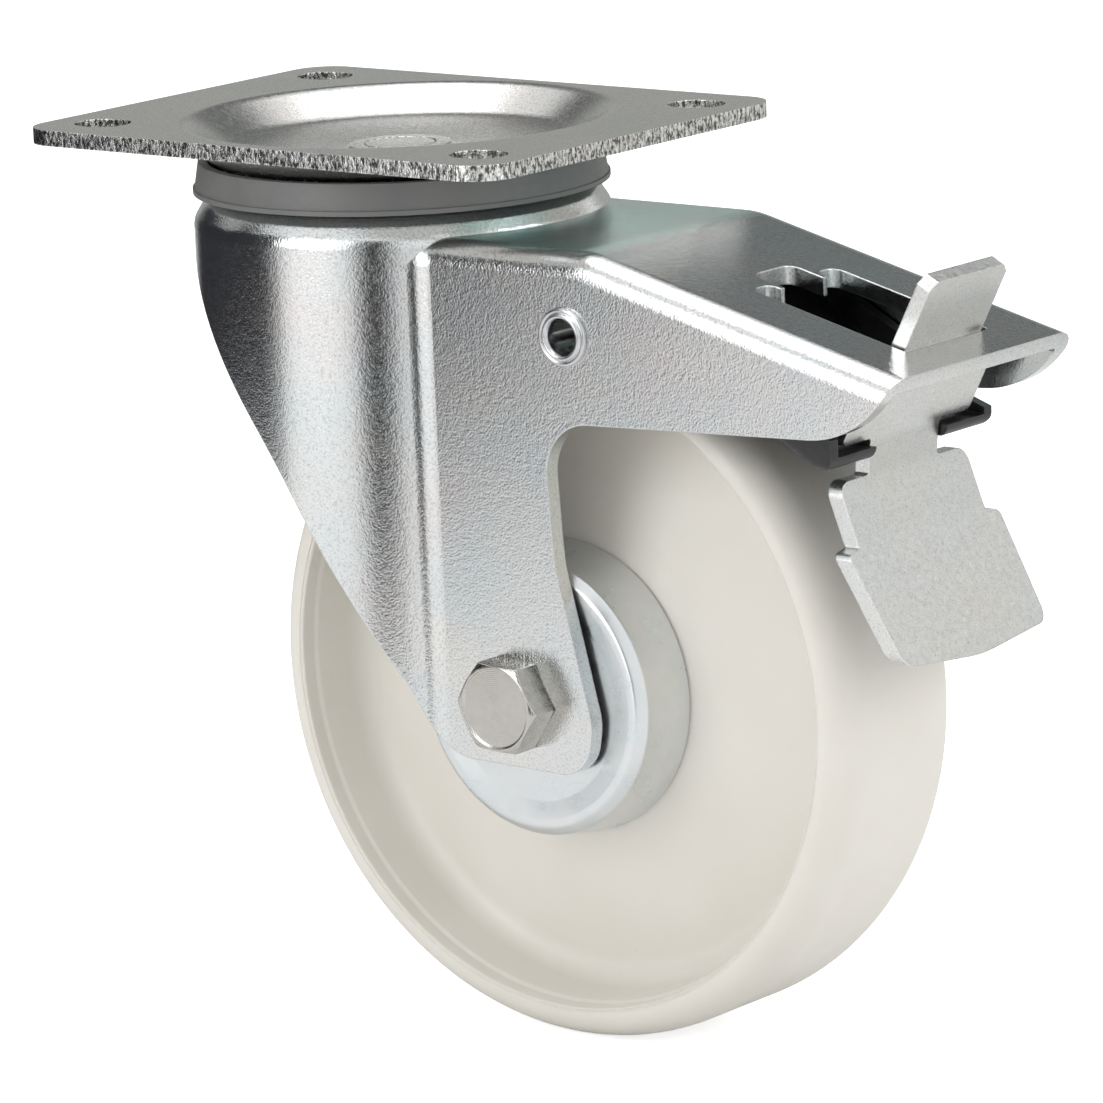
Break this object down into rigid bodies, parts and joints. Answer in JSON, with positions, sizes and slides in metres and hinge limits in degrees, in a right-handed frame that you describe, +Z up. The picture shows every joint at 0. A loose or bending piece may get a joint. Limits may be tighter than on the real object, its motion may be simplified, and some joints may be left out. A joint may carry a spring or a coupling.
{
  "type": "swivel castor",
  "caption": "Swivel castor with a nylon wheel in a pressed fork, a slotted top plate, a ball-race swivel head and a foot brake acting on the tread.",
  "frame": {"origin": "middle of the plate's top face, on the swivel axis", "axes": "+Z up along the swivel axis, +X the way the wheel trails (the brake's side), Y along the axle with the bolt head at -Y"},
  "size_m": [0.2267, 0.105, 0.202],
  "materials": {
    "zinc_sheet": "bright zinc plating, fine speckled grain",
    "zinc_cap": "satin pale zinc plating",
    "bolt_steel": "bright plated, turned face",
    "race_steel": "polished ball races",
    "black_spring": "satin black spring sheet",
    "grey_plastic": "matte grey moulding",
    "nylon": "off-white moulding, soft sheen"
  },
  "bodies": {
    "plate": {"top_plate": "zinc_sheet", "kingpin": "zinc_sheet", "kingpin_sleeve": "race_steel", "lower_race": "race_steel", "upper_ball_row": "race_steel", "lower_ball_row": "race_steel"},
    "fork": {"fork": "zinc_sheet", "seal_ring": "grey_plastic", "axle_bolt": "bolt_steel", "axle_nut": "bolt_steel", "axle_sleeve": "race_steel", "bearing_spacer": "race_steel", "eyelet_near": "zinc_sheet", "eyelet_far": "zinc_sheet", "bearing_collar_near": "race_steel", "bearing_collar_far": "race_steel", "bearing_inner_ring_near": "race_steel", "bearing_inner_ring_far": "race_steel"},
    "wheel": {"wheel": "nylon", "hub_cap_near": "zinc_cap", "hub_cap_far": "zinc_cap", "bearing_outer_ring_near": "race_steel", "bearing_outer_ring_far": "race_steel", "bearing_balls_near": "race_steel", "bearing_balls_far": "race_steel"},
    "brake_plate": {"brake_plate": "black_spring"},
    "brake_pedal": {"brake_pedal": "zinc_sheet"}
  },
  "joints": [
    {"name": "swivel", "type": "hinge", "parent": "plate", "child": "fork", "pos_m": [0, 0, 0], "axis": [0, 0, 1], "continuous": true},
    {"name": "wheel_spin", "type": "hinge", "parent": "fork", "child": "wheel", "pos_m": [0.0545, 0, -0.122], "axis": [0, 1, 0], "continuous": true},
    {"name": "brake_swing", "type": "hinge", "parent": "fork", "child": "brake_plate", "pos_m": [0.0723, 0, -0.0392], "axis": [0, 1, 0], "range_deg": [0, 12]},
    {"name": "pedal_tilt", "type": "hinge", "parent": "brake_plate", "child": "brake_pedal", "pos_m": [0.134, 0, -0.0625], "axis": [0, 1, 0], "range_deg": [-12, 0]}
  ],
  "couplings": [
    {"joint": "pedal_tilt", "follows": "brake_swing", "ratio": -1}
  ]
}
